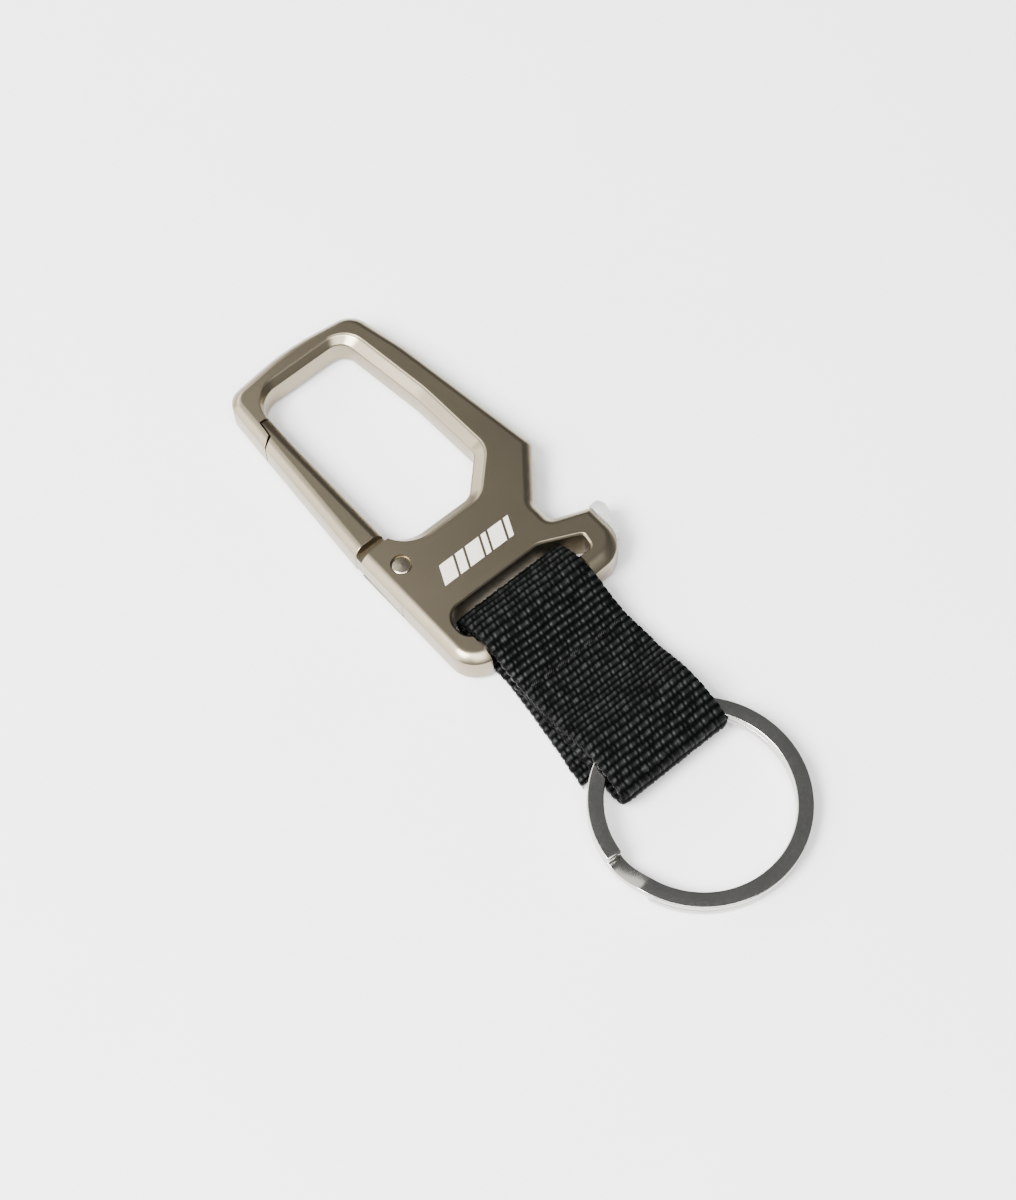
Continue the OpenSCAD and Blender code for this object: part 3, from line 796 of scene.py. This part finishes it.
def build_cap():
    """A clear cap over the tab's corner, with fine ribs on its outer side."""
    tab = 28.15         # the tab's outer edge, in Y
    base = np.array([[10.35, tab - 0.03], [10.2, tab + 1.2], [10.8, tab + 1.85], [11.7, tab + 2.08],
                     [13.0, tab + 1.75], [15.2, tab + 0.85], [17.0, tab + 0.1], [18.0, tab - 1.0]])
    outer, _ = smooth_path(base, 0.12)
    n = len(outer)
    t = np.linspace(0, 1, n)
    ridge = np.where((t > 0.42) & (t < 0.9), 0.07 * np.sin(2 * np.pi * (t - 0.42) / 0.08), 0.0)
    d = np.gradient(outer, axis=0)
    d /= np.linalg.norm(d, axis=1)[:, None]
    outer = outer + np.stack([-d[:, 1], d[:, 0]], axis=1) * ridge[:, None]
    a = np.linspace(math.radians(50), math.radians(90), 10)
    bend = 5.06         # the tab's corner radius and a little clearance
    inner = np.stack([14.79 + bend * np.cos(a), tab - 5 + bend * np.sin(a)], axis=1)
    loop = np.vstack([outer, inner])
    m = len(loop)
    middle = loop.mean(axis=0)
    levels = [(1.0, 0.965), (1.18, 1.0), (4.82, 1.0), (5.0, 0.965)]
    verts = [np.column_stack([middle + (loop - middle) * size, np.full(m, z)]) for z, size in levels]
    faces = [tuple(q) for q in grid_faces(len(levels), m, close_cols=True)] + end_caps(len(levels), m)
    obj = make_mesh("cap_body", np.vstack(verts), faces, smooth=False)
    edit_mesh(obj)
    obj.data.materials.append(clear)
    return obj


cap = build_cap()
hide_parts("corner_cap")
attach(cap, "hook")


# ---------------------------------------------------------------- generic etched mark

def build_mark():
    """A row of slanted bars, etched on the frame's face."""
    parts = []
    z0, z1 = 5.97, 6.012
    x0, x1, lean, gap = 3.9, 7.2, 1.5, 0.45
    y = 2.6
    for w in (2.6, 1.5, 2.6, 0.9, 2.6, 0.9):
        quad = [(x1, y), (x1, y + w), (x0, y + w + lean), (x0, y + lean)]
        verts = [(x, yy, z0) for x, yy in quad] + [(x, yy, z1) for x, yy in quad]
        faces = [(0, 1, 2, 3), (7, 6, 5, 4), (0, 4, 5, 1), (1, 5, 6, 2), (2, 6, 7, 3), (3, 7, 4, 0)]
        parts.append((np.array(verts, float), faces))
        y += w + gap
    obj = join_parts("etched_bars", parts, mark_finish)
    obj.data.polygons.foreach_set("use_smooth", [False] * len(obj.data.polygons))
    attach(obj, "hook")
    return obj


mark = build_mark()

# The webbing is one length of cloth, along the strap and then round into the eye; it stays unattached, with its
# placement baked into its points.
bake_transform(webbing)


# ---------------------------------------------------------------- floor, lights and camera

floor_mat, floor_tree, floor_shader = new_material("paper_floor")
floor_noise = noise(floor_tree, object_coords(floor_tree), 30, 2)
floor_tree.links.new(grey_ramp(floor_tree, floor_noise, 0.93, 0.95), floor_shader.inputs["Base Color"])
floor_shader.inputs["Roughness"].default_value = 0.9
floor_shader.inputs["Specular IOR Level"].default_value = 0.1
bpy.ops.mesh.primitive_plane_add(size=6.0, location=(0, 0, -0.00005))
floor = bpy.context.active_object
floor.name = "floor"
floor.data.materials.append(floor_mat)

world = bpy.context.scene.world or bpy.data.worlds.new("studio")
bpy.context.scene.world = world
world.use_nodes = True
background = world.node_tree.nodes.get("Background") or world.node_tree.nodes.new("ShaderNodeBackground")
background.inputs["Color"].default_value = (0.95, 0.97, 1.0, 1.0)
background.inputs["Strength"].default_value = 0.20

# Directions on the table as the camera sees it: right, away and up
TURN = math.radians(-53.9)


def table_vector(right, away, up):
    c, s = math.cos(TURN), math.sin(TURN)
    return Vector((right * c + away * s, -right * s + away * c, up))


def area_light(name, direction, distance, size, power, colour=(1, 1, 1), size_y=None):
    data = bpy.data.lights.new(name, "AREA")
    data.shape = "RECTANGLE"
    data.size = size
    data.size_y = size_y or size
    data.energy = power
    data.color = colour
    obj = bpy.data.objects.new(name, data)
    bpy.context.scene.collection.objects.link(obj)
    d = table_vector(*direction).normalized()
    obj.location = d * distance
    obj.rotation_euler = d.to_track_quat("Z", "Y").to_euler()


area_light("key_left", (-0.95, -0.18, 0.32), 0.9, 0.9, 9, (1.0, 0.98, 0.94), size_y=0.55)
area_light("main_left", (-0.50, -0.32, 0.80), 1.2, 0.55, 50)
area_light("overhead", (0.12, -0.50, 0.92), 1.3, 0.8, 24)
area_light("rim_far", (-0.66, 0.62, 0.45), 0.9, 0.7, 6, (1.0, 0.99, 0.96), size_y=0.5)
area_light("top_left", (-0.36, 0.42, 0.85), 0.8, 0.36, 0.8, (1.0, 0.99, 0.96))

ELEVATION = math.radians(60.51)
ROLL = math.radians(-4.63)
DISTANCE = 0.4513
right = Vector((1, 0, 0))
up = Vector((0, math.sin(ELEVATION), math.cos(ELEVATION)))
forward = Vector((0, math.cos(ELEVATION), -math.sin(ELEVATION)))
right_axis = right * math.cos(ROLL) + up * math.sin(ROLL)
up_axis = up * math.cos(ROLL) - right * math.sin(ROLL)
# The point looked at is this far to the right of the gate's pivot and this far behind it
PIVOT_TO_RIGHT, PIVOT_TO_BACK = 0.015449, -0.004158
look_at = table_vector(PIVOT_TO_RIGHT, PIVOT_TO_BACK, 0) + Vector(row((0, 0, 0)))


cam_data = bpy.data.cameras.new("camera")
cam_data.lens = 90
cam_data.sensor_width = 36
cam_data.clip_start = 0.01
camera = bpy.data.objects.new("camera", cam_data)
bpy.context.scene.collection.objects.link(camera)
rotation = Matrix([table_vector(*v) for v in (right_axis, up_axis, -forward)]).transposed()
camera.matrix_world = Matrix.Translation(look_at - table_vector(*forward) * DISTANCE) @ rotation.to_4x4()
bpy.context.scene.camera = camera
